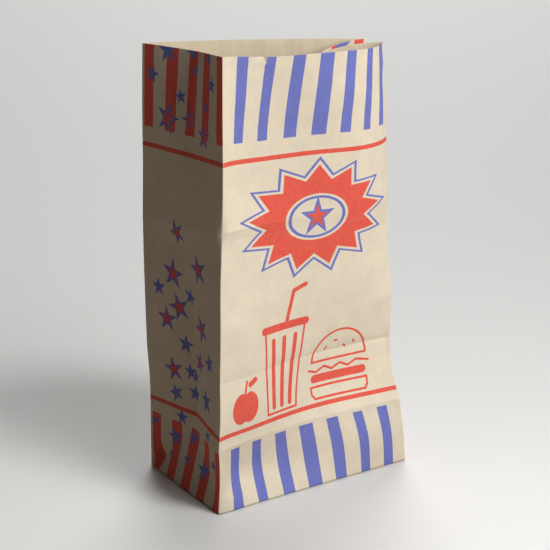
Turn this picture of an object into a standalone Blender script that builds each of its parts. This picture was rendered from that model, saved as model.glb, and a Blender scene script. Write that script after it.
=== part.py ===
"""Brown paper lunch bag: one sheet of kraft paper, folded and glued into an open block-bottom bag.

Metres, +Z up. The front panel faces -Y, and the origin is the middle of the base, on the ground.
The sheet is laid out by its inner face and thickened outwards, by two or three layers where it is
glued. A place on the walls is a way along a panel or gusset and a height of paper above the base.
"""

from math import pi, sqrt

import bmesh
import bpy
import numpy as np
from mathutils import Matrix, Vector

NAME = "paper_bag"
COLLECTION = "brown_paper_lunch_bag"

# The flat bag, with the base of a common lunch bag
BAG_WIDTH = 0.152
BAG_DEPTH = 0.092
BAG_HEIGHT = 0.290
PAPER = 0.00012

# Where the sheet is glued to itself
MOST_LAYERS = 3
BOTTOM_LAP = 0.022
SEAM_LAP = 0.012
SEAM_SHIFT = 0.024
CUT_EDGE = 0.0003

# Folds across the walls, by their height up the paper
SCORE = BAG_DEPTH / 2
BOTTOM_FOLD = BAG_DEPTH
MIDDLE_FOLD = 0.178

# The small notch in the front rim, from the left edge
NOTCH_PLACE = 0.0305
NOTCH_WIDTH = 0.0022
NOTCH_DEPTH = 0.004

# Print: each stripe's way from the face's middle and its width, mirrored about the middle
PANEL_STRIPES = ((0.0, 0.011), (0.021, 0.009), (0.0415, 0.0075), (0.061, 0.008))
GUSSET_STRIPES = ((0.0, 0.011), (0.020, 0.010), (0.0405, 0.0085))
GUSSET_PRINT_SHIFT = -0.0013
FOOT_BAND = 0.0435
RIM_BAND = 0.052
FOOT_RULE = 0.054
RIM_RULE = 0.0635
RULE_WIDTH = 0.003

# How the standing bag departs from a plain box, at each of these heights up the paper
LEVELS = (
    0.0,
    SCORE / 2,
    SCORE,
    (SCORE + BOTTOM_FOLD) / 2,
    BOTTOM_FOLD,
    (2 * BOTTOM_FOLD + MIDDLE_FOLD) / 3,
    (BOTTOM_FOLD + 2 * MIDDLE_FOLD) / 3,
    MIDDLE_FOLD,
    (2 * MIDDLE_FOLD + BAG_HEIGHT) / 3,
    (MIDDLE_FOLD + 2 * BAG_HEIGHT) / 3,
    BAG_HEIGHT,
)
CREASED = (0.0, SCORE, BOTTOM_FOLD, MIDDLE_FOLD, BAG_HEIGHT)
# The front edges' shifts, to the right and to the back
LEFT_X = (0.0, 0.0005, -0.002, -0.001, 0.0, 0.0015, 0.0025, 0.0045, 0.0045, 0.004, 0.004)
LEFT_Y = (0.0, -0.0015, -0.005, -0.0055, -0.004, -0.003, -0.002, -0.001, -0.003, -0.004, -0.0045)
RIGHT_X = (0.0, -0.0015, -0.004, -0.004, -0.002, -0.0005, -0.0005, 0.0, -0.002, -0.004, -0.0065)
RIGHT_Y = (0.0, 0.0015, 0.0035, 0.0125, 0.0185, 0.0195, 0.024, 0.026, 0.027, 0.0275, 0.028)
# How far the left gusset's centre fold is in, and how far its back edge leans to the right
LEFT_TUCK = (0.0, 0.005, 0.010, 0.011, 0.0105, 0.009, 0.005, 0.0, 0.0035, 0.008, 0.0105)
LEFT_LEAN = (0.0, -0.001, 0.0, -0.0015, -0.003, -0.004, -0.004, -0.005, -0.005, -0.005, -0.0045)
# The share of the bag's depth that its right side still spans, with the gusset folded in
RIGHT_SPAN = (1.0, 0.955, 0.895, 0.76, 0.65, 0.585, 0.49, 0.42, 0.346, 0.278, 0.21)
# How far the front panel's middle bulges out, and how far that bulge sits to the right
BOW = (0.0, -0.0065, -0.0095, -0.009, -0.006, -0.0035, -0.0005, 0.002, 0.005, 0.010, 0.017)
SKEW = (0.0, 0.0035, 0.001, -0.0015, -0.0005, 0.001, 0.003, 0.005, 0.007, 0.007, 0.005)
BACK_BOW = (0.0, 0.0005, 0.001, 0.0015, 0.002, 0.002, 0.002, 0.0015, 0.001, 0.0005, 0.0)

FLOOR = MOST_LAYERS * PAPER
ROW_SPACING = 0.0125
LEAST_CELL = 0.0001
WELD = 1e-6
SHARP_FOLD = 12 * pi / 180
LAYERS_GROUP = "layers"

PAPER_ROUGHNESS = 0.85
COLORS = {
    "kraft_paper": (0.73, 0.61, 0.46, 1),
    "blue_ink": (0.11, 0.13, 0.46, 1),
    "red_ink": (0.80, 0.09, 0.06, 1),
}
KRAFT, BLUE, RED = range(3)


def clear_scene():
    for item in list(bpy.data.objects):
        bpy.data.objects.remove(item)


def profile(values, height):
    """One row of values at this height, smooth between creases and bent sharply at them."""
    steps = np.diff(values) / np.diff(LEVELS)
    k = min(int(np.searchsorted(LEVELS, height, side="right")) - 1, len(steps) - 1)
    run = LEVELS[k + 1] - LEVELS[k]
    t = (height - LEVELS[k]) / run
    start = steps[k] if LEVELS[k] in CREASED else (steps[k - 1] + steps[k]) / 2
    end = steps[k] if LEVELS[k + 1] in CREASED else (steps[k] + steps[k + 1]) / 2
    return (
        values[k] * (1 + 2 * t) * (1 - t) ** 2
        + values[k + 1] * (3 - 2 * t) * t**2
        + run * (start * t * (1 - t) ** 2 - end * t**2 * (1 - t))
    )


def turned_left(way):
    return np.array((-way[1], way[0])) / np.hypot(*way)


def meeting_point(a, from_a, b, from_b):
    """The point at these two distances from a and b, on the left of the way from a to b."""
    way = b - a
    apart = np.hypot(*way)
    along = (apart**2 + from_a**2 - from_b**2) / (2 * apart)
    aside = sqrt(max(from_a**2 - along**2, 0.0))
    return a + way / apart * along + turned_left(way) * aside


def corners(height):
    """The front left, front right, back right and back left corners of the bag at this height."""
    front_left = np.array((profile(LEFT_X, height), profile(LEFT_Y, height)))
    front_left -= (BAG_WIDTH / 2, BAG_DEPTH / 2)
    front_right = np.array((profile(RIGHT_X, height), profile(RIGHT_Y, height)))
    front_right += (BAG_WIDTH / 2, -BAG_DEPTH / 2)
    tuck = profile(LEFT_TUCK, height)
    lean = profile(LEFT_LEAN, height)
    left_span = 2 * sqrt((BAG_DEPTH / 2) ** 2 - tuck**2)
    back_left = front_left + (lean, sqrt(left_span**2 - lean**2))
    right_span = BAG_DEPTH * profile(RIGHT_SPAN, height)
    back_right = meeting_point(back_left, BAG_WIDTH, front_right, right_span)
    return front_left, front_right, back_right, back_left


def panel_point(start, end, way, bow, skew):
    """A point on a bowed panel, this way along it from its start, seen from above."""
    t = way / BAG_WIDTH
    bulge = 4 * bow * t * (1 - t) + 10 * skew * t * (1 - t) * (2 * t - 1)
    return start + (end - start) * t - turned_left(end - start) * bulge


def gusset_point(start, end, way, height, tuck):
    """A point on a gusset. Two slanted folds rise from its corners and meet in its centre fold."""
    inward = tuck / (BAG_DEPTH / 2) * min(way, BAG_DEPTH - way, height)
    return start + (end - start) * way / BAG_DEPTH + turned_left(end - start) * inward


def section(height, across, around):
    """The bag's columns seen from above at this height, from the front left corner and round to it.

    across holds the columns' ways along a panel, and around those along a gusset, from the front.
    """
    front_left, front_right, back_right, back_left = corners(height)
    folded_from = max(height, SCORE)
    left_tuck = profile(LEFT_TUCK, folded_from)
    right_tuck = BAG_DEPTH / 2 * sqrt(1 - profile(RIGHT_SPAN, folded_from) ** 2)
    bow = profile(BOW, height)
    skew = profile(SKEW, height)
    back_bow = profile(BACK_BOW, height)
    front = [panel_point(front_left, front_right, way, bow, skew) for way in across]
    right = [gusset_point(front_right, back_right, way, height, right_tuck) for way in around]
    back = [panel_point(back_left, back_right, way, -back_bow, 0.0) for way in across]
    left = [gusset_point(back_left, front_left, BAG_DEPTH - way, height, left_tuck) for way in around]
    return once_round(front, right, back, left)


def once_round(front, right, back, left):
    """Four sides' columns as one list round the bag, with the first column again at its end."""
    return front[:-1] + right[:-1] + back[:0:-1] + left[::-1]


def stripe_middles(stripes, shift, width):
    """Each stripe's middle and width, and its mirror image's, across a face of this width."""
    middle = width / 2 + shift
    return {(middle + side * aside, stripe) for aside, stripe in stripes for side in (-1, 1)}


def seam_middle():
    return BAG_WIDTH / 2 + SEAM_SHIFT


def spaced(places, end):
    """Places from 0 to end in order, without those past the ends or almost on another."""
    kept = [0.0]
    for place in sorted(places):
        if place - kept[-1] > LEAST_CELL and end - place > LEAST_CELL:
            kept.append(place)
    return kept + [end]


def columns_across():
    """The columns' ways along a panel: the edges of its stripes and of the glued lap."""
    ways = set()
    for middle, stripe in stripe_middles(PANEL_STRIPES, 0.0, BAG_WIDTH):
        ways |= {middle - stripe / 2, middle + stripe / 2}
    for half in (SEAM_LAP / 2, SEAM_LAP / 2 + CUT_EDGE):
        ways |= {seam_middle() - half, seam_middle() + half}
    return spaced(ways, BAG_WIDTH)


def columns_around():
    """The columns' ways along a gusset: the edges of its stripes and its centre fold."""
    ways = {BAG_DEPTH / 2}
    for middle, stripe in stripe_middles(GUSSET_STRIPES, GUSSET_PRINT_SHIFT, BAG_DEPTH):
        ways |= {middle - stripe / 2, middle + stripe / 2}
    return spaced(ways, BAG_DEPTH)


def row_heights(around):
    """The rows' heights: print edges, folds, and columns' ways for the slanted folds to follow."""
    fixed = {BOTTOM_FOLD, MIDDLE_FOLD, FOOT_BAND, BAG_HEIGHT - RIM_BAND}
    fixed |= {way for way in around if way <= SCORE}
    for rule in (FOOT_RULE, BAG_HEIGHT - RIM_RULE):
        fixed |= {rule - RULE_WIDTH / 2, rule + RULE_WIDTH / 2}
    fixed = spaced(fixed, BAG_HEIGHT)
    heights = [0.0]
    for low, high in zip(fixed, fixed[1:]):
        steps = int(np.ceil((high - low) / ROW_SPACING))
        heights += list(np.linspace(low, high, steps + 1)[1:])
    return heights


def wall_places(across, around, heights):
    """The walls' vertices by row and column, with the paper's own length kept up each column."""
    plan = np.array([section(height, across, around) for height in heights])
    moved = np.linalg.norm(np.diff(plan, axis=0), axis=2)
    climbs = np.sqrt(np.maximum(np.diff(heights)[:, None] ** 2 - moved**2, 0.0))
    levels = np.vstack([np.zeros(plan.shape[1]), np.cumsum(climbs, axis=0)])
    return np.dstack([plan, levels + FLOOR])


def floor_places(across, around):
    """The floor's vertices by row and column, seen from below with the front edge first."""
    rows = [[(way - BAG_WIDTH / 2, back - BAG_DEPTH / 2) for way in across] for back in around]
    plan = np.array(rows)[:, ::-1]
    return np.dstack([plan, np.full(plan.shape[:2], FLOOR)])


def add_grid(bm, places):
    """Adds a grid with its vertices at these places, and gives its vertices and faces by row."""
    rows, columns = places.shape[:2]
    before = len(bm.faces)
    made = bmesh.ops.create_grid(bm, x_segments=columns - 1, y_segments=rows - 1, size=1)
    vertices = made["verts"]
    for vertex, place in zip(vertices, places.reshape(-1, 3)):
        vertex.co = place
    bm.faces.ensure_lookup_table()
    return vertices, bm.faces[before:]


def on_stripe(way, stripes, shift, width):
    return any(
        abs(way - middle) < stripe / 2 for middle, stripe in stripe_middles(stripes, shift, width)
    )


def stripe_ink(way, on_gusset):
    """The ink at this way along a panel or a gusset, inside a striped band."""
    if on_gusset:
        return RED if on_stripe(way, GUSSET_STRIPES, GUSSET_PRINT_SHIFT, BAG_DEPTH) else KRAFT
    return BLUE if on_stripe(way, PANEL_STRIPES, 0.0, BAG_WIDTH) else KRAFT


def wall_ink(way, on_gusset, height):
    """The ink at a place on the walls: striped bands at foot and rim, with a rule along each."""
    for rule in (FOOT_RULE, BAG_HEIGHT - RIM_RULE):
        if abs(height - rule) < RULE_WIDTH / 2:
            return RED
    if height < FOOT_BAND or height > BAG_HEIGHT - RIM_BAND:
        return stripe_ink(way, on_gusset)
    return KRAFT


def middles(ways):
    return [(a + b) / 2 for a, b in zip(ways, ways[1:])]


def print_walls(faces, across, around, heights):
    panel = [(way, False) for way in middles(across)]
    gusset = [(way, True) for way in middles(around)]
    columns = panel + gusset + panel[::-1] + gusset[::-1]
    places = [(way, on_gusset, height) for height in middles(heights) for way, on_gusset in columns]
    for face, place in zip(faces, places):
        face.material_index = wall_ink(*place)


def beyond_slant(x, y):
    """How far a place on the floor is from the nearer end, less its way in from the front edge."""
    return (BAG_WIDTH / 2 - abs(x)) - (y + BAG_DEPTH / 2)


def flap_count(x, y):
    """How many of the two long bottom flaps cover this place on the floor."""
    front = y <= BOTTOM_LAP / 2 + WELD and beyond_slant(x, y) >= -WELD
    back = y >= -BOTTOM_LAP / 2 - WELD and beyond_slant(x, -y) >= -WELD
    return front + back


def floor_faces(bm, side=0):
    """The floor's faces, or with a side given only those that its long flap may cover."""
    least = -BOTTOM_LAP / 2 - CUT_EDGE if side else -BAG_DEPTH
    middles = [(face, face.calc_center_median()) for face in bm.faces]
    return [face for face, middle in middles if middle.z < FLOOR + WELD and side * middle.y > least]


def cut_floor(bm, side, point, outside):
    """Cuts the floor along a flap's edge, and again just outside it, where the layers step."""
    for aside in (0.0, CUT_EDGE):
        faces = floor_faces(bm, side)
        edges = {edge for face in faces for edge in face.edges}
        vertices = {vertex for face in faces for vertex in face.verts}
        bmesh.ops.bisect_plane(
            bm,
            geom=[*vertices, *edges, *faces],
            dist=WELD,
            plane_co=point + outside * aside,
            plane_no=outside,
        )


def cut_flap_edges(bm):
    """Cuts both long flaps' free edges across the middle and their slanted ends at 45 degrees."""
    for side in (-1, 1):
        cut_floor(bm, 0, Vector((0, -side * BOTTOM_LAP / 2, 0)), Vector((0, -side, 0)))
    for side in (-1, 1):
        for end in (-1, 1):
            corner = Vector((end * BAG_WIDTH / 2, side * BAG_DEPTH / 2, 0))
            cut_floor(bm, side, corner, Vector((end, -side, 0)).normalized())


def layer_walls(vertices, deform, across, around):
    """Gives the walls one layer of paper, and two where the back panel is lapped and glued."""
    single = [1] * len(around)
    lapped = [1 + (abs(way - seam_middle()) < SEAM_LAP / 2 + WELD) for way in across]
    columns = once_round([1] * len(across), single, lapped, single)
    for k, vertex in enumerate(vertices):
        vertex[deform][0] = columns[k % len(columns)] / MOST_LAYERS


def finish_floor(bm, deform):
    """Gives the floor its flaps' layers, and carries the walls' stripes under the bag."""
    for face in floor_faces(bm):
        middle = face.calc_center_median()
        if flap_count(middle.x, middle.y):
            face.material_index = stripe_ink(middle.x + BAG_WIDTH / 2, False)
        else:
            face.material_index = stripe_ink(middle.y + BAG_DEPTH / 2, True)
        for vertex in face.verts:
            layers = 1 + flap_count(vertex.co.x, vertex.co.y)
            vertex[deform][0] = layers / MOST_LAYERS


def bag_mesh(across, around, heights, walls):
    bm = bmesh.new()
    deform = bm.verts.layers.deform.verify()
    vertices, faces = add_grid(bm, walls)
    print_walls(faces, across, around, heights)
    layer_walls(vertices, deform, across, around)
    add_grid(bm, floor_places(across, around))
    bmesh.ops.remove_doubles(bm, verts=bm.verts, dist=WELD)
    cut_flap_edges(bm)
    finish_floor(bm, deform)
    mesh = bpy.data.meshes.new(NAME)
    bm.to_mesh(mesh)
    bm.free()
    mesh.shade_smooth()
    mesh.set_sharp_from_angle(angle=SHARP_FOLD)
    return mesh


def notch_cutter(rim):
    """A wedge through the front panel, its tip below a point on the rim."""
    bm = bmesh.new()
    bmesh.ops.create_cone(bm, cap_ends=True, segments=3, radius1=1, radius2=1, depth=1)
    mesh = bpy.data.meshes.new("notch_cutter")
    bm.to_mesh(mesh)
    bm.free()
    # The unit wedge is 1.5 high and sqrt(3) wide: these make it twice the notch's size
    size = Vector((2 * NOTCH_WIDTH / sqrt(3), 2 * NOTCH_DEPTH / 1.5, 2 * NOTCH_WIDTH))
    mesh.transform(Matrix.Rotation(-pi / 2, 4, "X") @ Matrix.Diagonal((*size, 1)))
    cutter = bpy.data.objects.new("notch_cutter", mesh)
    cutter.location = rim + Vector((0, 0, size.y - NOTCH_DEPTH))
    cutter.hide_render = True
    cutter.display_type = "WIRE"
    return cutter


def paper_material(name, color):
    material = bpy.data.materials.new(name)
    material.use_nodes = True
    shader = material.node_tree.nodes["Principled BSDF"]
    shader.inputs["Base Color"].default_value = color
    shader.inputs["Roughness"].default_value = PAPER_ROUGHNESS
    shader.inputs["Metallic"].default_value = 0.0
    material.diffuse_color = color
    return material


def thicken(bag):
    """Turns the sheet into paper, outwards by as many layers as each place has, plain on the inside."""
    bag.vertex_groups.new(name=LAYERS_GROUP)
    paper = bag.modifiers.new("Paper", "SOLIDIFY")
    paper.thickness = MOST_LAYERS * PAPER
    paper.offset = 1
    paper.use_even_offset = True
    paper.vertex_group = LAYERS_GROUP
    paper.material_offset = KRAFT - RED
    paper.material_offset_rim = KRAFT - RED


def collection_named(name):
    collection = bpy.data.collections.new(name)
    bpy.context.scene.collection.children.link(collection)
    return collection


def main():
    clear_scene()
    across = columns_across()
    around = columns_around()
    heights = row_heights(around)
    walls = wall_places(across, around, heights)
    bag = bpy.data.objects.new(NAME, bag_mesh(across, around, heights, walls))
    collection_named(COLLECTION).objects.link(bag)
    for name, color in COLORS.items():
        bag.data.materials.append(paper_material(name, color))
    thicken(bag)
    front_rim = walls[-1, : len(across)]
    cutter = notch_cutter(Vector([np.interp(NOTCH_PLACE, across, row) for row in front_rim.T]))
    collection_named("cutters").objects.link(cutter)
    notch = bag.modifiers.new("Notch", "BOOLEAN")
    notch.operation = "DIFFERENCE"
    notch.object = cutter


main()
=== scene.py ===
"""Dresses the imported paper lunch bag: its folded, printed kraft sheet, a plain stage and a camera."""

from functools import partial
from math import atan2, cos, pi, radians, sin

import bpy
import numpy as np
from bpy.props import FloatProperty, FloatVectorProperty, IntProperty, PointerProperty
from bpy.types import Operator, Panel, PropertyGroup
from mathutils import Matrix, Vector


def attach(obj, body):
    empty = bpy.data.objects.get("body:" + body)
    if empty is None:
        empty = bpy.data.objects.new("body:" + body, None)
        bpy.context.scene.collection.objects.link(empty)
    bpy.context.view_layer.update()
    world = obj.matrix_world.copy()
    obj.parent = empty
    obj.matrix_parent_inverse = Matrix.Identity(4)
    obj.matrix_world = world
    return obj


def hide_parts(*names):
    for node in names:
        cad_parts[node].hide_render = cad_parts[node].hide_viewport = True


bl_info = {
    "name": "Paper Lunch Bag",
    "version": (1, 0, 0),
    "blender": (4, 5, 0),
    "location": "View3D > Sidebar > Lunch Bag",
    "description": "Builds a printed paper lunch bag around its CAD part, with a stage and a camera",
    "category": "Object",
}

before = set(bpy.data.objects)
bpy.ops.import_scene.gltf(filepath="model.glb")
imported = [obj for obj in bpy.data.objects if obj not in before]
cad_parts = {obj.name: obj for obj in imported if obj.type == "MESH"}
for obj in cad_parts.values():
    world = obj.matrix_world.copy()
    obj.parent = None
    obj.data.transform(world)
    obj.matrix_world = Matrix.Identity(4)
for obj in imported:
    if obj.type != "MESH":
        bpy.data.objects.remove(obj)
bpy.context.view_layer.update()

MM = 0.001
BAG_NODE = "paper_bag"

# The folds by their height up the paper in metres, as in the CAD part. Only the bottom fold lies
# 2.7 mm lower, where the photograph has it.
SCORE = 0.046
BOTTOM_FOLD = 0.0893
MIDDLE_FOLD = 0.178
TOP = 0.290
CREASED = (0.0, SCORE, BOTTOM_FOLD, MIDDLE_FOLD, TOP)
LEVELS = np.array([
    low + (high - low) * k / parts
    for low, high, parts in zip(CREASED, CREASED[1:], (2, 2, 3, 3))
    for k in range(parts)
] + [TOP])
# At each of those levels: the front edges' shifts to the right and to the back
LEFT_X = (0.0, 0.0005, -0.002, -0.001, 0.0, 0.0015, 0.0025, 0.0045, 0.0045, 0.004, 0.004)
LEFT_Y = (0.0, -0.0015, -0.005, -0.0055, -0.004, -0.003, -0.002, -0.001, -0.003, -0.004, -0.0045)
RIGHT_X = (0.0, -0.0015, -0.004, -0.004, -0.002, -0.0005, -0.0005, 0.0, -0.002, -0.004, -0.0065)
RIGHT_Y = (0.0, 0.0015, 0.0035, 0.0125, 0.0185, 0.0195, 0.024, 0.026, 0.027, 0.0275, 0.028)
# The left gusset's centre fold's way in, its back edge's lean, and the depth the right side spans
LEFT_TUCK = (0.0, 0.005, 0.010, 0.011, 0.0105, 0.009, 0.005, 0.0, 0.0035, 0.008, 0.0105)
LEFT_LEAN = (0.0, -0.001, 0.0, -0.0015, -0.003, -0.004, -0.004, -0.005, -0.005, -0.005, -0.0045)
RIGHT_SPAN = (1.0, 0.955, 0.895, 0.76, 0.65, 0.585, 0.49, 0.42, 0.346, 0.278, 0.21)
# The front panel's bulge and how far it sits to the right, and the back panel's bulge
BOW = (0.0, -0.0065, -0.0095, -0.009, -0.006, -0.0035, -0.0005, 0.002, 0.005, 0.010, 0.017)
SKEW = (0.0, 0.0035, 0.001, -0.0015, -0.0005, 0.001, 0.003, 0.005, 0.007, 0.007, 0.005)
BACK_BOW = (0.0, 0.0005, 0.001, 0.0015, 0.002, 0.002, 0.002, 0.0015, 0.001, 0.0005, 0.0)

# The fold at mid height runs a little higher up the front panel
FRONT_RIDGE = 0.185

# Layers of paper from the floor's inside down to the table, where the two flaps lap
LAYERS = 3
# The back seam's way from the panel's middle, and how far the sheet's ends and the flaps lap
SEAM_SHIFT = 0.024
SEAM_LAP = 0.012
BOTTOM_LAP = 0.022
# The notch in the rim: its middle from the front left edge, its size, and its two sides
NOTCH_PLACE = 0.0305
NOTCH_WIDTH = 0.0022
NOTCH_DEPTH = 0.004
NOTCH = (NOTCH_PLACE - NOTCH_WIDTH / 2, NOTCH_PLACE + NOTCH_WIDTH / 2)
# Its left side's slant, as a share of its width, and the paper that leans back beside it
NOTCH_SLANT = 0.92
CURL = 0.0009
CURL_WIDTH = 0.008
CURL_COLUMNS = 4
FOLD_RADIUS = 0.0007
FOOT_RADIUS = 0.0014
# Five samples across a fold, whose average rounds it
ROUNDING = (-1.0, -0.5, 0.0, 0.5, 1.0)
SHARP_ANGLE = radians(50)

# The mesh's rows beside a fold, the gap under which two are one, and by how much one may pass a cell
FOLD_STEPS = (0.0003, 0.0006, 0.001, 0.0016)
CLOSEST = 0.15 * MM
SPARE = 0.001
# Places nearer than this are the same
HAIR = 1e-5
# Half the width of the step at a lap's edge, and the way over which a flap steps down
LAP_STEP = 0.2 * MM
FLAP_STEP = 1.5 * MM
FLAP_COLUMNS = 33
FLAP_ROWS = (14, 9)
# How far below the sheet's foot the flaps and the floor read the print
FLAPS_READ = 0.2
FLOOR_READS = 0.01

# The waves fade out over these ways from a fold and from the foot
FOLD_HOLD = 0.012
FOOT_HOLD = 0.03
# A noise strays a quarter from its middle, so this makes its waves as deep as stated
NOISE_GAIN = 4.0
# How far from its line a fold is worn and painted paler as a highlight, and how much of that wear and painted
# highlight the folds across the bag get
WEAR_AND_HIGHLIGHT_WIDTH = 0.0005
ROW_WEAR_AND_HIGHLIGHT = 0.12

# Print in millimetres: the faces, and each stripe's way from its face's middle and its width
PANEL = 152.0
GUSSET = 92.0
PAPER_HEIGHT = 290.0
PANEL_STRIPES = ((0.0, 11.0), (21.0, 9.0), (41.5, 7.5), (61.0, 8.0))
GUSSET_STRIPES = ((0.0, 11.0), (20.0, 10.0), (40.5, 8.5))
# The gussets' stripes have their middle this far round from the panels' own
GUSSET_MIDDLE = 120.7
FOOT_BAND = 43.5
RIM_BAND = 52.0
RULES = (54.0, 226.5)
RULE_WIDTH = 3.0
# The burst stops this far inside a panel's edges
ART_MARGIN = 0.5
# How far rough paper shifts the ink's edge, and the pattern of that, per millimetre
INK_SHIFT = 0.35
INK_GRAIN = 0.6

# Kraft paper's patterns, per millimetre, with the fibres' lean, and its bump's strength and depth
CLOUDS = 0.09
FIBRES = (1.6, 0.35, 1)
FIBRE_LEAN = (0, 0, 0.2)
SPECKS = 0.16
STREAKS = 0.8
STREAK_STRETCH = (1.0, 0.03, 0)
FELT = 2.0
FELT_SHARE = 0.4
BUMP = (0.22, 0.0001)
# A noise's usual span, and the darkest and palest tone that each pattern gives
NOISE_SPAN = (0.3, 0.7)
CLOUD_TONE = (0.955, 1.025)
FIBRE_TONE = (0.965, 1.03)
SPECK_EDGE = (0.02, 0.05)
SPECK_TONE = (0.86, 1.0)
STREAK_TONE = (0.988, 1.01)
# How much paler a fold's paper is painted, partly for wear and partly as a painted highlight where its
# rounding catches light, how much ink it has lost to wear, and the ink's cover between fibres
PALER_FOR_WEAR_AND_HIGHLIGHT = 0.13
WORN_INK = -0.30
INK_SPAN = (0.25, 0.5)
INK_COVER = (0.80, 1.0)
# How dark the stripes show through, as a tone of the paper
SHOW_THROUGH = 0.95
PAPER_ROUGHNESS = 0.86
LAMINATE_ROUGHNESS = 0.6

# The floor's half width and the point on the bag that the lamps face, in metres
FLOOR_REACH = 8.0
AIM = Vector((0, 0, 0.15))
ROOM_LIGHT = "F6F0E6"
# The camera as fitted to the photograph: its place, its lens, its heading and how far it looks down
CAMERA_PLACE = (-0.4647, -0.7010, 0.3831)
CAMERA_LENS = 86.33
CAMERA_HEADING = (0.5504, 0.8349)
CAMERA_PITCH = radians(16.40)


def linear(code):
    """A colour written as an sRGB hex value, in the linear form that Blender works in."""
    channels = [int(code[k:k + 2], 16) / 255 for k in (0, 2, 4)]
    turned = [c / 12.92 if c <= 0.04045 else ((c + 0.055) / 1.055) ** 2.4 for c in channels]
    return (*turned, 1.0)


def node(tree, kind, *inputs, **settings):
    """Adds a node with its settings, and with values or links in its inputs' order.

    A kind in capitals is the operation of a Math node, or after VECTOR of a Vector Math node, and
    a short one is a shader node's. Gives the node's first output; the others are reached through
    that output's own node.
    """
    if kind.isupper():
        *vector, settings["operation"] = kind.split()
        kind = "VectorMath" if vector else "Math"
    if "Node" not in kind:
        kind = "ShaderNode" + kind
    made = tree.nodes.new(kind)
    for name, value in settings.items():
        setattr(made, name, value)
    sockets = [socket for socket in made.inputs if socket.enabled]
    for socket, value in zip(sockets, inputs):
        if isinstance(value, bpy.types.NodeSocket):
            tree.links.new(value, socket)
        elif value is not None:
            socket.default_value = value
    return next((socket for socket in made.outputs if socket.enabled), made)


def emptied(owner):
    """A material's or a world's node tree, without the nodes that it starts with."""
    owner.use_nodes = True
    owner.node_tree.nodes.clear()
    return owner.node_tree


def add_sockets(tree, in_out, kind, *names):
    """Adds a node group's inputs or outputs of one kind."""
    for name in names:
        tree.interface.new_socket(name, in_out=in_out, socket_type="NodeSocket" + kind)


def linked(name, data):
    """A new object of this data, linked to the scene."""
    made = bpy.data.objects.new(name, data)
    bpy.context.scene.collection.objects.link(made)
    return made


def metres(name, description, default):
    """A setting that is a length."""
    return FloatProperty(name=name, description=description, default=default, unit="LENGTH")


def colour_of(name, description, code):
    """A setting that is a colour."""
    given = {"subtype": "COLOR", "size": 4, "default": linear(code)}
    return FloatVectorProperty(name=name, description=description, **given)


class BagSizes(PropertyGroup):
    width: metres("Width", "The base's width", 0.152)
    depth: metres("Depth", "The base's depth, and each gusset's", 0.092)
    height: metres("Height", "The paper's height above the base", 0.290)
    paper: metres("Paper", "The paper's thickness", 0.00012)
    cell: metres("Cell", "The mesh's largest spacing", 0.0024)
    cockle: metres("Cockle", "How deep the paper's broad waves are", 0.0005)
    cockle_size: metres("Cockle size", "How long those waves are", 0.040)
    crumple: metres("Crumple", "How deep the small dents are", 0.00012)
    crumple_size: metres("Crumple size", "How long those dents are", 0.009)
    seed: IntProperty(name="Seed", description="Picks one set of waves and dents", default=3)


class BagColours(PropertyGroup):
    paper: colour_of("Paper", "The kraft paper", "DDD1BA")
    inside: colour_of("Inside", "The kraft inside", "DBCDB2")
    red: colour_of("Red", "Red ink on the paper", "E8503F")
    blue: colour_of("Blue", "Blue ink on the paper", "656EC2")


class StageSettings(PropertyGroup):
    floor: colour_of("Floor", "The floor as it is seen", "DADAD8")
    bounce: colour_of("Bounce", "The floor as it lights the bag", "83756A")
    room: colour_of("Room", "The room as it is seen", "C4C4C2")
    key: FloatProperty(name="Key", description="The main lamp's strength, soft and even", default=1.2)
    near: FloatProperty(
        name="Near", description="The power of the lamp near the bag's mouth", default=3.6, unit="POWER"
    )
    behind: FloatProperty(name="Behind", description="The strength of the light from behind", default=1.5)
    fill: FloatProperty(name="Fill", description="How brightly the room itself lights the bag", default=0.035)


SETTINGS = {"bag_sizes": BagSizes, "bag_colours": BagColours, "bag_stage": StageSettings}


def profile(values, heights):
    """One row of values at these heights, smooth between creases and bent sharply at them."""
    values = np.array(values)
    steps = np.diff(values) / np.diff(LEVELS)
    sharp = np.isin(LEVELS, CREASED)
    k = np.clip(np.searchsorted(LEVELS, heights, side="right") - 1, 0, len(steps) - 1)
    before = np.where(sharp[k], steps[k], (steps[np.maximum(k - 1, 0)] + steps[k]) / 2)
    after = np.where(sharp[k + 1], steps[k], (steps[k] + steps[np.minimum(k + 1, len(steps) - 1)]) / 2)
    run = LEVELS[k + 1] - LEVELS[k]
    t = (heights - LEVELS[k]) / run
    return (
        values[k] * (1 + 2 * t) * (1 - t) ** 2
        + values[k + 1] * (3 - 2 * t) * t**2
        + run * (before * t * (1 - t) ** 2 - after * t**2 * (1 - t))
    )


def turned_left(ways):
    """These directions turned a quarter to the left, as unit vectors."""
    return np.stack((-ways[..., 1], ways[..., 0]), -1) / np.linalg.norm(ways, axis=-1)[..., None]


def meeting_points(a, from_a, b, from_b):
    """The points at these distances from a and b, on the left of the way from a to b."""
    way = b - a
    gap = np.linalg.norm(way, axis=-1)
    along = (from_a**2 - from_b**2 + gap**2) / (2 * gap)
    aside = np.sqrt(np.maximum(from_a**2 - along**2, 0.0))
    return a + way * (along / gap)[:, None] + turned_left(way) * aside[:, None]


def corners(sizes, heights):
    """The bag's four corners seen from above at each height."""
    width, depth = sizes.width, sizes.depth
    front_left = np.stack((profile(LEFT_X, heights) - width / 2, profile(LEFT_Y, heights) - depth / 2), -1)
    front_right = np.stack((profile(RIGHT_X, heights) + width / 2, profile(RIGHT_Y, heights) - depth / 2), -1)
    lean = profile(LEFT_LEAN, heights)
    tuck = profile(LEFT_TUCK, np.maximum(heights, SCORE))
    span = 2 * np.sqrt((depth / 2) ** 2 - tuck**2)
    back_left = front_left + np.stack((lean, np.sqrt(span**2 - lean**2)), -1)
    back_right = meeting_points(back_left, width, front_right, depth * profile(RIGHT_SPAN, heights))
    return front_left, front_right, back_right, back_left


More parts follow.
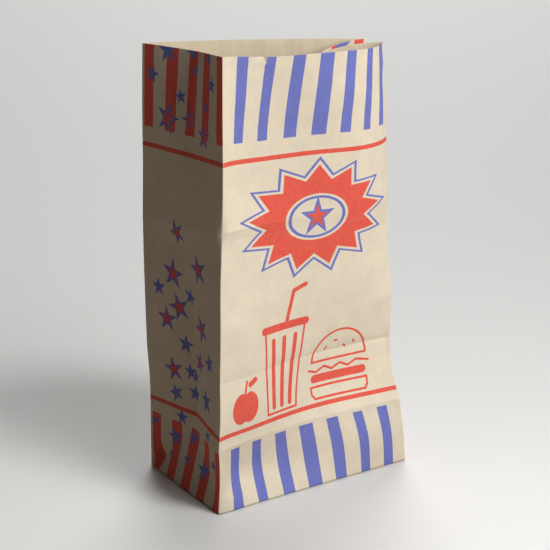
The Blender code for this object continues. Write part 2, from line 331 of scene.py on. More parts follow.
def plan(sizes, ways, heights):
    """Points seen from above, at these ways round the sheet (columns) and heights up it (rows)."""
    width, depth = sizes.width, sizes.depth
    front_left, front_right, back_right, back_left = corners(sizes, heights)
    folded_from = np.maximum(heights, SCORE)
    right_tuck = depth / 2 * np.sqrt(1 - profile(RIGHT_SPAN, folded_from) ** 2)
    sides = (
        (width, front_left, front_right, profile(BOW, heights), profile(SKEW, heights), None),
        (depth, front_right, back_right, None, None, right_tuck),
        (width, back_right, back_left, profile(BACK_BOW, heights), 0 * heights, None),
        (depth, back_left, front_left, None, None, profile(LEFT_TUCK, folded_from)),
    )
    ways = np.mod(ways, 2 * (width + depth))
    points = np.zeros((len(heights), len(ways), 2))
    first = 0.0
    for length, start, end, bow, skew, tuck in sides:
        on_side = (ways >= first) & (ways < first + length)
        way = (ways[on_side] - first)[None, :]
        t = way / length
        if tuck is None:
            # The 4 and the 10 bring each curve's height to about 1
            out = 4 * bow[:, None] * t * (1 - t) + 10 * skew[:, None] * t * (1 - t) * (2 * t - 1)
        else:
            rise = np.minimum(np.minimum(way, length - way), heights[:, None])
            out = -tuck[:, None] / (length / 2) * rise
        chord = (end - start)[:, None, :]
        points[:, on_side] = start[:, None, :] + chord * t[..., None] - turned_left(chord) * out[..., None]
        first += length
    return points


def eased(values, start, end):
    """0 before start, 1 after end, and a smooth rise between. The start may be the higher one."""
    t = np.clip((values - start) / (end - start), 0.0, 1.0)
    return t * t * (3 - 2 * t)


def wall_points(sizes, ways, heights):
    """The walls' points by row and column, with rounded folds and the paper's own length kept."""
    flat = 0.0
    for around in ROUNDING:
        for up in ROUNDING:
            near = np.clip(heights + up * FOLD_RADIUS, 0.0, sizes.height)
            flat = flat + plan(sizes, ways + around * FOLD_RADIUS, near) / len(ROUNDING) ** 2
    moved = np.linalg.norm(np.diff(flat, axis=0), axis=2)
    climbs = np.sqrt(np.maximum(np.diff(heights)[:, None] ** 2 - moved**2, 0.0))
    levels = np.vstack([np.zeros(len(ways)), np.cumsum(climbs, axis=0)])
    return np.dstack([flat, levels + LAYERS * sizes.paper])


def outward_of(points):
    """Unit vectors out of the walls at each of their points."""
    around = np.roll(points, -1, axis=1) - np.roll(points, 1, axis=1)
    normals = np.cross(around, np.gradient(points, axis=0))
    return normals / np.linalg.norm(normals, axis=2)[..., None]


def spaced(places, end, most):
    """Places from 0 to end in order, none almost on another, with no gap over the most."""
    kept = [0.0]
    for place in sorted(places):
        if place - kept[-1] > CLOSEST and end - place > CLOSEST:
            kept.append(place)
    kept.append(end)
    filled = [0.0]
    for low, high in zip(kept, kept[1:]):
        cells = int(np.ceil((high - low) / most - SPARE))
        filled += list(np.linspace(low, high, cells + 1)[1:])
    return np.array(filled)


def beside(place, steps):
    """A place, and the places at these steps on both sides of it."""
    return {place + side * step for step in (0.0, *steps) for side in (-1, 1)}


def ways_across(sizes):
    """The columns' ways along a panel, closer at its ends, its lap's edges and the notch."""
    ways = beside(0.0, FOLD_STEPS) | beside(sizes.width, FOLD_STEPS)
    seam = sizes.width / 2 - SEAM_SHIFT
    for edge in (seam - SEAM_LAP / 2, seam + SEAM_LAP / 2):
        ways |= {sizes.width - edge - LAP_STEP, sizes.width - edge + LAP_STEP}
    return spaced({way for way in (*ways, *NOTCH) if way > 0}, sizes.width, sizes.cell)


def ways_deep(sizes):
    """The columns' ways along a gusset, closer at its ends and its centre fold."""
    ways = beside(0.0, FOLD_STEPS) | beside(sizes.depth, FOLD_STEPS)
    ways |= beside(sizes.depth / 2, FOLD_STEPS)
    return spaced({way for way in ways if way > 0}, sizes.depth, sizes.cell)


def rows_up(sizes):
    """The rows' heights up the paper, closer at the folds across the bag."""
    rows = beside(0.0, FOLD_STEPS) | {sizes.height - NOTCH_DEPTH}
    for fold in (SCORE, BOTTOM_FOLD, MIDDLE_FOLD, FRONT_RIDGE):
        rows |= beside(fold, FOLD_STEPS)
    return spaced({row for row in rows if row > 0}, sizes.height, sizes.cell)


# Scattered stars on a gusset: way from its back edge, height, radius and whether its core is red
STARS = (
    (23, 288, 8.9, 0), (10, 272, 6.3, 0), (45, 289, 6.0, 0), (49, 278, 5.2, 0), (69, 287, 5.5, 0),
    (75, 272, 6.3, 0), (36, 261, 5.3, 0), (67, 258, 4.0, 0), (25, 246, 11.0, 1), (45, 248, 7.2, 1),
    (66, 240, 8.7, 1), (42, 176, 9.0, 1), (31, 146, 11.0, 1), (64, 156, 10.5, 1), (16, 134, 6.8, 0),
    (47, 134, 7.0, 0), (34, 124, 10.0, 1), (22, 114, 9.2, 1), (60, 116, 10.0, 1), (38, 100, 7.2, 0),
    (25, 80, 9.0, 1), (41, 82, 6.5, 0), (55, 92, 8.5, 1), (72, 97, 7.2, 0), (46, 80, 5.0, 0),
    (26, 64, 7.0, 0), (44, 68, 6.5, 0), (65, 70, 9.5, 0), (32, 48, 6.5, 0), (5, 37, 4.5, 0),
    (26, 31, 8.0, 0), (46, 37, 6.5, 0), (70, 48, 5.3, 0), (22, 17, 3.8, 0), (43, 20, 4.8, 0),
    (65, 20, 8.0, 0), (80, 30, 5.5, 0),
)
# Their turns, over and over, and how far inside its edge a red core starts, as a share of a radius
STAR_TURNS = (0.10, -0.25, 0.30, 0.0, 0.42, -0.12, 0.22)
STAR_CORE = 0.14
# A star's points and its valleys' share of its radius
STAR = (5, 0.382)

# The panels' line drawing in millimetres from their lower left corner: an apple, a cup and a bun.
# Each stroke: half its width, then its points.
STROKES = (
    (0.8, (40.5, 112), (45, 58), (70, 58), (74.5, 112)),
    (2.6, (39.5, 115), (75.5, 115)),
    (1.5, (59, 117), (64, 137), (74, 140)),
    (1.7, (50.5, 62), (47.8, 107)),
    (1.7, (57.5, 62), (57.5, 107)),
    (1.7, (64.5, 62), (67.2, 107)),
    (0.8, (84, 66), (84.6, 61), (87, 58), (129, 58), (131.4, 61), (132, 66), (84, 66)),
    (2.8, (87, 71.5), (129, 71.5)),
    (0.8, (82, 78), (89, 76), (96, 79), (103, 76), (110, 79), (117, 76), (124, 79), (134, 77)),
    (0.8, (84.5, 83), (131.5, 83)),
    (0.7, (95, 90.5), (97, 92)),
    (0.7, (103, 95.5), (105.5, 95.5)),
    (0.7, (112, 91), (114, 89.5)),
    (0.7, (120, 93), (121.5, 91.5)),
    (0.9, (22.5, 78), (24.5, 86)),
    (1.9, (27.5, 83.5), (32, 85.5)),
)
# Arcs of it: the middle, the half axes, half the line's width, and the lowest height drawn
ARCS = (
    (108, 83, 23.5, 20, 0.8, 83),
    (19.5, 69, 4.0, 5.0, 4.5, 0),
    (27.0, 69, 4.0, 5.0, 4.5, 0),
)
# The burst above it: its middle, its radius, how flat it is and its slope
BURST = (79.0, 184.0, 56.0, 0.61, 0.20)
# Its rays and their valleys' share of its radius
BURST_RAYS = (13, 0.72)
# Its outline's way out from its edge, half its lines' width, and its open oval's half width
BURST_OUTLINE = 3.4
BURST_LINE = 1.0
BURST_OVAL = 25.0
# In the oval: the ring's way in and half its width, the star's radius and how far in its red starts
OVAL_RING = 3.6
RING_LINE = 1.3
OVAL_STAR = 14.0
OVAL_CORE = 1.7
# Farther than any place is from the drawing
FAR = 100.0


def place_on_sheet(tree):
    """A shaded point's place on the sheet in millimetres: its way round and its height."""
    place = node(tree, "UVMap", uv_map="sheet")
    return node(tree, "VECTOR MULTIPLY", place, (1 / MM, 1 / MM, 0))


def star_edge(tree, arm, radius, turn, points, valley):
    """How far a place, given from a star's middle, lies outside the star's nearest edge.

    Each edge is a straight line from a tip to a valley, whose distance from the middle is this
    share of the tip's.
    """
    add = partial(node, tree)
    half = pi / points
    lean = atan2(1 - valley * cos(half), valley * sin(half))
    reach = add("VECTOR LENGTH", arm)
    x = add("SeparateXYZ", arm)
    angle = add("ARCTAN2", x, x.node.outputs["Y"])
    angle = add("ADD", angle, turn)
    angle = add("PINGPONG", angle, half)
    angle = add("SUBTRACT", angle, lean)
    from_edge = add("COSINE", angle)
    from_edge = add("MULTIPLY", reach, from_edge)
    return add("MULTIPLY_ADD", radius, -cos(lean), from_edge)


def striped(tree, around, height):
    """The red and blue stripes' cover, in a band at the foot and one at the rim."""
    add = partial(node, tree)
    # The way round is folded about the front panel's middle, then about a gusset's
    from_middle = add("SUBTRACT", around, PANEL / 2)
    from_middle = add("PINGPONG", from_middle, PANEL + GUSSET)
    on_panel = add("PINGPONG", from_middle, (PANEL + GUSSET) / 2)
    on_gusset = add("SUBTRACT", from_middle, GUSSET_MIDDLE)
    on_gusset = add("ABSOLUTE", on_gusset)
    low, high = FOOT_BAND, PAPER_HEIGHT - RIM_BAND
    plain = add("COMPARE", height, (low + high) / 2, (high - low) / 2)
    banded = add("SUBTRACT", 1.0, plain)
    covers = []
    for way, stripes in ((on_gusset, GUSSET_STRIPES), (on_panel, PANEL_STRIPES)):
        cover = 0.0
        for aside, width in stripes:
            stripe = add("COMPARE", way, aside, width / 2)
            cover = add("MAXIMUM", cover, stripe)
        covers.append(add("MULTIPLY", cover, banded))
    return covers


def starred(tree, place):
    """The cover of the nearest star's blue rim and red core.

    Its place, radius, turn and core are stored on the mesh's faces.
    """
    add = partial(node, tree)
    star = add("Attribute", attribute_name="star").node.outputs["Vector"]
    style = add("Attribute", attribute_name="star_style").node.outputs["Vector"]
    radius = add("SeparateXYZ", star).node.outputs["Z"]
    turn = add("SeparateXYZ", style)
    arm = add("VECTOR SUBTRACT", place, star)
    arm = add("VECTOR MULTIPLY", arm, (1, 1, 0))
    edge = star_edge(tree, arm, radius, turn, *STAR)
    whole = add("LESS_THAN", edge, 0.0)
    core = add("LESS_THAN", edge, turn.node.outputs["Y"])
    return add("SUBTRACT", whole, core), core


def burst(tree, place):
    """The cover of the burst's red field and blue lines.

    It is a wide star with many rays and an outline, and has an open oval with a ring and a star.
    """
    add = partial(node, tree)
    x, y, radius, flatness, slope = BURST
    centred = add("VECTOR SUBTRACT", place, (x, y, 0))
    turned = add("VectorRotate", centred, (0, 0, 0), None, -slope, rotation_type="Z_AXIS")
    squeezed = add("VECTOR MULTIPLY", turned, (1, 1 / flatness, 0))
    edge = star_edge(tree, squeezed, radius, 0.0, *BURST_RAYS)
    reach = add("VECTOR LENGTH", squeezed)
    field = add("LESS_THAN", edge, 0.0)
    past_oval = add("GREATER_THAN", reach, BURST_OVAL)
    field = add("MULTIPLY", field, past_oval)
    outline = add("COMPARE", edge, BURST_OUTLINE, BURST_LINE)
    ring = add("COMPARE", reach, BURST_OVAL - OVAL_RING, RING_LINE)
    star = star_edge(tree, turned, OVAL_STAR, 0.0, *STAR)
    whole = add("LESS_THAN", star, 0.0)
    core = add("LESS_THAN", star, -OVAL_CORE)
    lines = add("MAXIMUM", ring, whole)
    lines = add("SUBTRACT", lines, core)
    lines = add("MAXIMUM", outline, lines)
    return add("MAXIMUM", field, core), lines


def drawing(tree, place, height):
    """The line drawing's cover, from the distance to its strokes' straight pieces and its arcs."""
    add = partial(node, tree)
    near = FAR
    for half, *points in STROKES:
        for (ax, ay), (bx, by) in zip(points, points[1:]):
            way = Vector((bx - ax, by - ay, 0))
            from_start = add("VECTOR SUBTRACT", place, (ax, ay, 0))
            share = add("VECTOR DOT_PRODUCT", from_start, way / way.length_squared)
            share = add("Clamp", share)
            foot = add("VECTOR MULTIPLY_ADD", way, share, (ax, ay, 0))
            gap = add("VECTOR DISTANCE", foot, place)
            gap = add("SUBTRACT", gap, half)
            near = add("MINIMUM", near, gap)
    for x, y, half_x, half_y, half, lowest in ARCS:
        centred = add("VECTOR SUBTRACT", place, (x, y, 0))
        squeezed = add("VECTOR MULTIPLY", centred, (1 / half_x, 1 / half_y, 0))
        gap = add("VECTOR LENGTH", squeezed)
        gap = add("SUBTRACT", gap, 1.0)
        gap = add("ABSOLUTE", gap)
        gap = add("MULTIPLY_ADD", gap, (half_x + half_y) / 2, -half)
        under = add("SUBTRACT", lowest, height)
        gap = add("MAXIMUM", gap, under)
        near = add("MINIMUM", near, gap)
    return add("LESS_THAN", near, 0.0)


def print_group():
    """The node group that gives the red and blue ink's cover at a place on the sheet."""
    tree = bpy.data.node_groups.new("Bag print", "ShaderNodeTree")
    add = partial(node, tree)
    add_sockets(tree, "OUTPUT", "Float", "Red", "Blue", "Stripes")
    place = place_on_sheet(tree)
    # Rough paper takes the ink's edge a little unevenly
    rough = add("TexNoise", place, INK_GRAIN, 2.0, noise_dimensions="2D")
    shift = add("VECTOR SUBTRACT", rough.node.outputs["Color"], (0.5, 0.5, 0.5))
    place = add("VECTOR MULTIPLY_ADD", shift, (INK_SHIFT, INK_SHIFT, 0), place)
    around = add("SeparateXYZ", place)
    height = around.node.outputs["Y"]

    # The stripes show through the walls, but not through the base's layers
    red, blue = striped(tree, around, height)
    above = add("GREATER_THAN", height, 0.0)
    stripes = add("MAXIMUM", red, blue)
    stripes = add("MULTIPLY", stripes, above)
    for rule in RULES:
        line = add("COMPARE", height, rule, RULE_WIDTH / 2)
        red = add("MAXIMUM", red, line)

    # The red is left open under a star's blue
    rim, core = starred(tree, place)
    blue = add("MAXIMUM", blue, rim)
    red = add("SUBTRACT", red, rim, use_clamp=True)
    red = add("MAXIMUM", red, core)

    # Both panels carry the same art, so its way along the panel starts again on the back
    along = add("FLOORED_MODULO", around, PANEL + GUSSET)
    panel_place = add("CombineXYZ", along, height)
    within = add("COMPARE", along, PANEL / 2, PANEL / 2 - ART_MARGIN)
    field, lines = burst(tree, panel_place)
    field = add("MULTIPLY", field, within)
    lines = add("MULTIPLY", lines, within)
    red = add("MAXIMUM", red, field)
    blue = add("MAXIMUM", blue, lines)
    red = add("MAXIMUM", red, drawing(tree, panel_place, height))
    add("NodeGroupOutput", red, blue, stripes)
    return tree


def paper_material(name, paper, printed, colours, show_through):
    """Matt kraft paper: short fibres and a cloudy tone at a step away, with flat, thirsty ink.

    Unbleached pulp is a little uneven in tone over 5 to 15 mm, and its longest fibres are 3 mm
    long. It has no gloss, and its felt side is rough at about 0.2 mm, drawn here at 0.5 mm to show.
    """
    material = bpy.data.materials.new(name)
    tree = emptied(material)
    add = partial(node, tree)
    place = place_on_sheet(tree)
    cloud = add("TexNoise", place, CLOUDS, 4.0, 0.6, noise_dimensions="2D")
    stretched = add("Mapping", place, None, FIBRE_LEAN, FIBRES)
    fibre = add("TexNoise", stretched, 1.0, 3.0, 0.7, 2.0, 1.6, noise_dimensions="2D")
    speck = add("TexVoronoi", place, SPECKS, feature="F1", voronoi_dimensions="2D")
    # The paper machine leaves faint streaks along the web, which runs up the bag
    stretched = add("VECTOR MULTIPLY", place, STREAK_STRETCH)
    streak = add("TexNoise", stretched, STREAKS, 2.0, noise_dimensions="2D")
    # The folds' paper is painted paler: partly wear, partly a painted highlight where the rounded fold
    # catches light
    fold_wear_and_highlight = add("Attribute", attribute_name="fold_wear_and_highlight").node.outputs["Fac"]
    shade = add("MapRange", cloud, *NOISE_SPAN, *CLOUD_TONE)
    for tone in (
        add("MapRange", streak, *NOISE_SPAN, *STREAK_TONE),
        add("MapRange", fibre, *NOISE_SPAN, *FIBRE_TONE),
        add("MapRange", speck, *SPECK_EDGE, *SPECK_TONE),
        add("MULTIPLY_ADD", fold_wear_and_highlight, PALER_FOR_WEAR_AND_HIGHLIGHT, 1.0),
    ):
        shade = add("MULTIPLY", shade, tone)
    shades = add("CombineXYZ", shade, shade, shade)
    times = {"data_type": "RGBA", "blend_type": "MULTIPLY"}
    colour = add("Mix", 1.0, tuple(paper), shades, **times)
    # Ink sinks in unevenly between the fibres, and is rubbed off where the paper is worn
    thirst = add("MapRange", fibre, *INK_SPAN, *INK_COVER)
    thin = add("MULTIPLY_ADD", fold_wear_and_highlight, WORN_INK, 1.0)
    thirst = add("MULTIPLY", thirst, thin)
    red, blue, stripes = add("Group", node_tree=printed).node.outputs
    inks = ((red, tuple(colours.red)), (blue, tuple(colours.blue)))
    if show_through:
        inks = ((stripes, tuple(Vector(paper) * SHOW_THROUGH)),)
    for cover, tint in inks:
        strength = add("MULTIPLY", cover, thirst)
        through = tuple(min(1.0, ink / base) for ink, base in zip(tint, paper))
        colour = add("Mix", strength, colour, through, **times)
    felt = add("TexNoise", place, FELT, 2.0, noise_dimensions="2D")
    felt = add("MULTIPLY_ADD", felt, FELT_SHARE, fibre)
    bump = add("Bump", *BUMP, None, felt)
    shader = add("BsdfPrincipled", colour, None, PAPER_ROUGHNESS)
    tree.links.new(bump, shader.node.inputs["Normal"])
    add("OutputMaterial", shader)
    return material


def cockle_tree():
    """Geometry nodes that wave and dent the sheet, each side moved alike."""
    tree = bpy.data.node_groups.new("Paper cockle", "GeometryNodeTree")
    add = partial(node, tree)
    add_sockets(tree, "INPUT", "Geometry", "Geometry")
    add_sockets(tree, "INPUT", "Float", "Cockle Depth", "Cockle Size", "Crumple Depth", "Crumple Size")
    add_sockets(tree, "INPUT", "Int", "Seed")
    add_sockets(tree, "INPUT", "Material", "Outside", "Inside")
    add_sockets(tree, "OUTPUT", "Geometry", "Geometry")
    given = tree.nodes.new("NodeGroupInput").outputs
    named = "GeometryNodeInputNamedAttribute"
    place = add(named, "sheet_place", data_type="FLOAT_VECTOR")
    outward = add(named, "outward", data_type="FLOAT_VECTOR")
    slack = add(named, "slack", data_type="FLOAT")
    waves = 0.0
    for depth, size, detail in (("Cockle Depth", "Cockle Size", 1.0), ("Crumple Depth", "Crumple Size", 2.0)):
        scale = add("DIVIDE", 1.0, given[size])
        noise = add("TexNoise", place, given["Seed"], scale, detail, noise_dimensions="4D")
        centred = add("SUBTRACT", noise, 0.5)
        deep = add("MULTIPLY", given[depth], NOISE_GAIN)
        waves = add("MULTIPLY_ADD", centred, deep, waves)
    moved = add("MULTIPLY", waves, slack)
    offset = add("VECTOR MULTIPLY", outward, moved)
    shape = add("GeometryNodeSetPosition", given["Geometry"], None, None, offset)
    shape = add("GeometryNodeRealizeInstances", shape)
    for name in ("Outside", "Inside"):
        chosen = add("GeometryNodeMaterialSelection", given[name])
        shape = add("GeometryNodeSetMaterial", shape, chosen, given[name])
    add("NodeGroupOutput", shape)
    return tree


def set_inputs(modifier, values):
    """Sets a geometry nodes modifier's inputs by the identifiers of their sockets."""
    for item in modifier.node_group.interface.items_tree:
        if item.in_out == "INPUT" and item.name in values:
            modifier[item.identifier] = values[item.name]


def finished(item):
    """Turns an object's evaluated shape into a plain mesh, and gives the new object."""
    graph = bpy.context.evaluated_depsgraph_get()
    mesh = bpy.data.meshes.new_from_object(item.evaluated_get(graph))
    name = item.name
    bpy.data.objects.remove(item)
    return linked(name, mesh)


# Dents and bumps on the front, the right gusset, the back and the left gusset, in millimetres:
# the middle's way along the face and height, half sizes, and how far it stands out
DENTS = (
    (
        (143, 118, 6, 4, 0.7), (147, 168, 7, 6, -0.9), (9, 215, 9, 14, -0.8),
        (14, 122, 12, 10, 1.0), (114, 142, 26, 16, 0.9), (60, 118, 24, 14, -0.8), (95, 265, 30, 14, 0.6),
        (20, 262, 10, 12, 0.8), (148, 285, 4, 5, -0.9), (142, 279, 4, 6, 0.6), (26, 20, 14, 14, -1.2),
        (12, 8, 10, 6, 1.3), (118, 26, 20, 12, 0.7), (70, 30, 14, 14, 0.5), (44, 250, 5, 22, -0.5),
    ),
    ((38, 150, 14, 20, 0.9), (64, 226, 10, 22, -0.7)),
    ((86, 150, 40, 30, 1.0), (26, 210, 30, 26, -0.8), (106, 236, 24, 20, 0.7), (36, 80, 26, 20, 0.7)),
    ((28, 165, 14, 12, -1.2), (68, 150, 9, 18, 0.9), (16, 120, 10, 18, 0.9), (74, 100, 8, 12, -0.8)),
)


# Faces by their order round the sheet
FRONT, BACK, LEFT = 0, 2, 3
# Folds that stand out or sink in, in millimetres: the height, how far, and the fade below and above.
# On the front each grows along a span, from this share or by this much.
FRONT_FOLD = (FRONT_RIDGE / MM, 2.5, 10.0, 15.0)
FRONT_VALLEY = (BOTTOM_FOLD / MM, 0.5, 14.0, 3.5)
FOLD_SPAN = (75, 15)
FOLD_LEAST = 0.2
VALLEY_SPAN = (40, 140)
VALLEY_ADDS = 1.8
LEFT_FOLD = (MIDDLE_FOLD / MM, 1.4, 7.0, 7.0)
LEFT_SLOPE = 0.06
OTHER_FOLD = (180.0, 0.8, 8.0, 8.0)
OTHER_VALLEY = (BOTTOM_FOLD / MM, 0.6, 14.0, 3.5)
SCORE_RIDGE = (SCORE / MM, 0.35, 2.5, 2.5)
# The fold pushed in at the left gusset's back corner: its depth, half width, half length and middle
CORNER_PUSH = (4.0, 8, 14, 20)
# The front's foot stands out at its left corner: how far, over what height, and along what span
FOOT_FLARE = (0.9, 4)
FLARE_SPAN = (45, 5)
# Nothing stands out at a face's edges
FACE_EDGE = 3


def ridge(v, place, most, below, above):
    """A fold's sharp ridge at this height, fading over these ways below and above it."""
    gap = v - place
    return most * np.exp(-np.abs(gap) / np.where(gap < 0, below, above))


def folds(face, u, v):
    """How far the folds stand out of a face, at ways along it and heights, in millimetres."""
    if face == FRONT:
        flare, climb = FOOT_FLARE
        out = ridge(v, *FRONT_FOLD) * (FOLD_LEAST + (1 - FOLD_LEAST) * eased(u, *FOLD_SPAN))
        out -= ridge(v, *FRONT_VALLEY) * (1 + VALLEY_ADDS * eased(u, *VALLEY_SPAN))
        out += flare * np.exp(-v / climb) * eased(u, *FLARE_SPAN)
    elif face == LEFT:
        depth, wide, long, middle = CORNER_PUSH
        out = ridge(v - LEFT_SLOPE * u, *LEFT_FOLD)
        out -= depth * np.exp(-(((u - v) / wide) ** 2) - ((u + v - middle) / long) ** 2)
    else:
        out = ridge(v, *OTHER_FOLD) - ridge(v, *OTHER_VALLEY) + 0 * u
    if face in (FRONT, BACK):
        out += ridge(v, *SCORE_RIDGE)
    return out


def relief(sizes, ways, heights):
    """How far the small folds and dents stand out of the walls, in metres; rows and columns."""
    out = np.zeros((len(heights), len(ways)))
    v = heights[:, None] / MM
    start = 0.0
    lengths = (sizes.width, sizes.depth, sizes.width, sizes.depth)
    for face, (length, dents) in enumerate(zip(lengths, DENTS)):
        on_face = (ways >= start) & (ways < start + length)
        u = (ways[None, on_face] - start) / MM
        out_here = folds(face, u, v)
        for at_u, at_v, wide, high, deep in dents:
            out_here += deep * np.exp(-(((u - at_u) / wide) ** 2) - ((v - at_v) / high) ** 2)
        out[:, on_face] = out_here * eased(u, 0, FACE_EDGE) * eased(length / MM - u, 0, FACE_EDGE)
        start += length
    return out * MM


def cut_notch(points, ways, rows, sizes):
    """Slants the notch's left side to a point at its foot, and leans the paper beside it back."""
    left, right = (np.argmin(np.abs(ways - edge)) for edge in NOTCH)
    for row in np.nonzero(rows > sizes.height - NOTCH_DEPTH - HAIR)[0]:
        open_share = (rows[row] - sizes.height + NOTCH_DEPTH) / NOTCH_DEPTH
        points[row, left] += (points[row, right] - points[row, left]) * NOTCH_SLANT * (1 - open_share)
        for column in range(left - CURL_COLUMNS + 1, left + 1):
            near = 1 - (ways[left] - ways[column]) / CURL_WIDTH
            points[row, column, 1] += CURL * open_share**2 * near


def round_foot(points, outward, rows):
    """Rounds the fold between the walls and the floor, so that the foot meets the table on a curve."""
    for row in np.nonzero(rows < FOOT_RADIUS)[0]:
        inward = FOOT_RADIUS - np.sqrt(FOOT_RADIUS**2 - (FOOT_RADIUS - rows[row]) ** 2)
        points[row, :, :2] -= outward[row, :, :2] * inward


def bottom_flaps(sizes):
    """The two long flaps glued over the floor: their places, faces, and places on the sheet.

    The back flap laps over the front one, so it steps down by a layer where it reaches it.
    """
    half_width, half_depth, lap = sizes.width / 2, sizes.depth / 2, BOTTOM_LAP / 2
    shares = np.linspace(-1, 1, FLAP_COLUMNS)
    step = half_depth - lap
    to_step, past_step = FLAP_ROWS
    reaches = np.concatenate((
        np.linspace(FOOT_RADIUS, step - FLAP_STEP, to_step),
        np.linspace(step, half_depth + lap, past_step),
    ))
    vertices, faces, ink_places = [], [], []
    for side in (-1, 1):
        first = len(vertices)
        for reach in reaches:
            layer = 2 if side == 1 and reach >= step else 1
            for share in shares:
                x = share * (half_width - reach)
                vertices.append((x, side * (half_depth - reach), (LAYERS - layer) * sizes.paper))
        for k in range(len(reaches) - 1):
            for m in range(FLAP_COLUMNS - 1):
                corner = first + k * FLAP_COLUMNS + m
                ring = (corner, corner + FLAP_COLUMNS, corner + FLAP_COLUMNS + 1, corner + 1)
                ring = ring if side == -1 else ring[::-1]
                faces.append(ring)
                places = (vertices[i] for i in ring)
                ink_places.append(tuple((x + half_width, y - FLAPS_READ) for x, y, _ in places))
    return vertices, faces, ink_places


def floor_print(sizes, side, across, deep):
    """The sheet's place whose print shows under the floor: a gusset's at each side's end, or none."""
    width, depth = sizes.width, sizes.depth
    if side > 0:
        return width + deep, across - width
    if side < 0:
        return 2 * (width + depth) - deep, -across
    return across, -FLOOR_READS - deep


def bag_mesh(sizes):
    """The sheet as one surface without thickness: four walls and the floor, all facing out."""
    across, deep, rows = ways_across(sizes), ways_deep(sizes), rows_up(sizes)
    width, depth = sizes.width, sizes.depth
    back = width - across[::-1]
    ways = np.concatenate((
        across[:-1],
        width + deep[:-1],
        width + depth + back[:-1],
        2 * width + depth + (depth - deep[::-1])[:-1],
    ))
    points = wall_points(sizes, ways, rows)
    outward = outward_of(points)
    points = points + outward * relief(sizes, ways, rows)[..., None]
    cut_notch(points, ways, rows, sizes)
    seam = width + depth + width / 2 - SEAM_SHIFT
    lapped = np.abs(ways - seam) < SEAM_LAP / 2
    points = points + outward * lapped[None, :, None] * sizes.paper
    round_foot(points, outward, rows)
    columns, count = len(ways), len(rows)
    across_count, deep_count = len(across), len(deep)
    corner_columns = np.cumsum((0, across_count - 1, deep_count - 1, across_count - 1))
    round_ways = np.append(ways, 2 * (width + depth))

    def wall_index(row, column):
        return row * columns + column % columns

    def floor_index(a, b):
        if b == 0:
            return wall_index(0, a)
        if a == across_count - 1:
            return wall_index(0, corner_columns[1] + b)
        if b == deep_count - 1:
            return wall_index(0, corner_columns[2] + across_count - 1 - a)
        if a == 0:
            return wall_index(0, corner_columns[3] + deep_count - 1 - b)
        return count * columns + (b - 1) * (across_count - 2) + a - 1

    floor = [
        (across[a] - width / 2, deep[b] - depth / 2, LAYERS * sizes.paper)
        for b in range(1, deep_count - 1)
        for a in range(1, across_count - 1)
    ]
    faces, ink_places, slots = [], [], []
    for i in range(count - 1):
        for j in range(columns):
            way = (round_ways[j] + round_ways[j + 1]) / 2
            if NOTCH[0] < way < NOTCH[1] and rows[i] > sizes.height - NOTCH_DEPTH - HAIR:
                continue
            ring = ((i, j), (i, j + 1), (i + 1, j + 1), (i + 1, j))
            faces.append(tuple(wall_index(*corner) for corner in ring))
            ink_places.append(tuple((round_ways[column], rows[row]) for row, column in ring))
            slots.append(0)
    for a in range(across_count - 1):
        for b in range(deep_count - 1):
            ring = ((a, b), (a, b + 1), (a + 1, b + 1), (a + 1, b))
            faces.append(tuple(floor_index(*corner) for corner in ring))
            middle = Vector((across[a] + across[a + 1] - width, deep[b] + deep[b + 1] - depth)) / 2
            at_end = width / 2 - abs(middle.x) < depth / 2 - abs(middle.y) + sizes.cell
            side = (middle.x > 0) - (middle.x < 0) if at_end else 0
            ink_places.append(tuple(floor_print(sizes, side, across[k], deep[m]) for k, m in ring))
            slots.append(0 if at_end else 1)
    flap_places, flap_faces, flap_ink = bottom_flaps(sizes)
    first = points[..., 0].size + len(floor)
    faces += [tuple(first + k for k in face) for face in flap_faces]
    ink_places += flap_ink
    slots += [0] * len(flap_faces)
    mesh = bpy.data.meshes.new("paper_sheet")
    vertices = np.vstack((points.reshape(-1, 3), floor, flap_places))
    mesh.from_pydata(vertices.tolist(), [], faces)
    mesh.polygons.foreach_set("material_index", slots)
    uv = mesh.uv_layers.new(name="sheet")
    uv.data.foreach_set("uv", np.array(ink_places).reshape(-1))
    store_places(mesh, sizes, ways, rows, outward, len(floor) + len(flap_places))
    store_stars(mesh, np.array(ink_places).mean(axis=1), sizes)
    return mesh


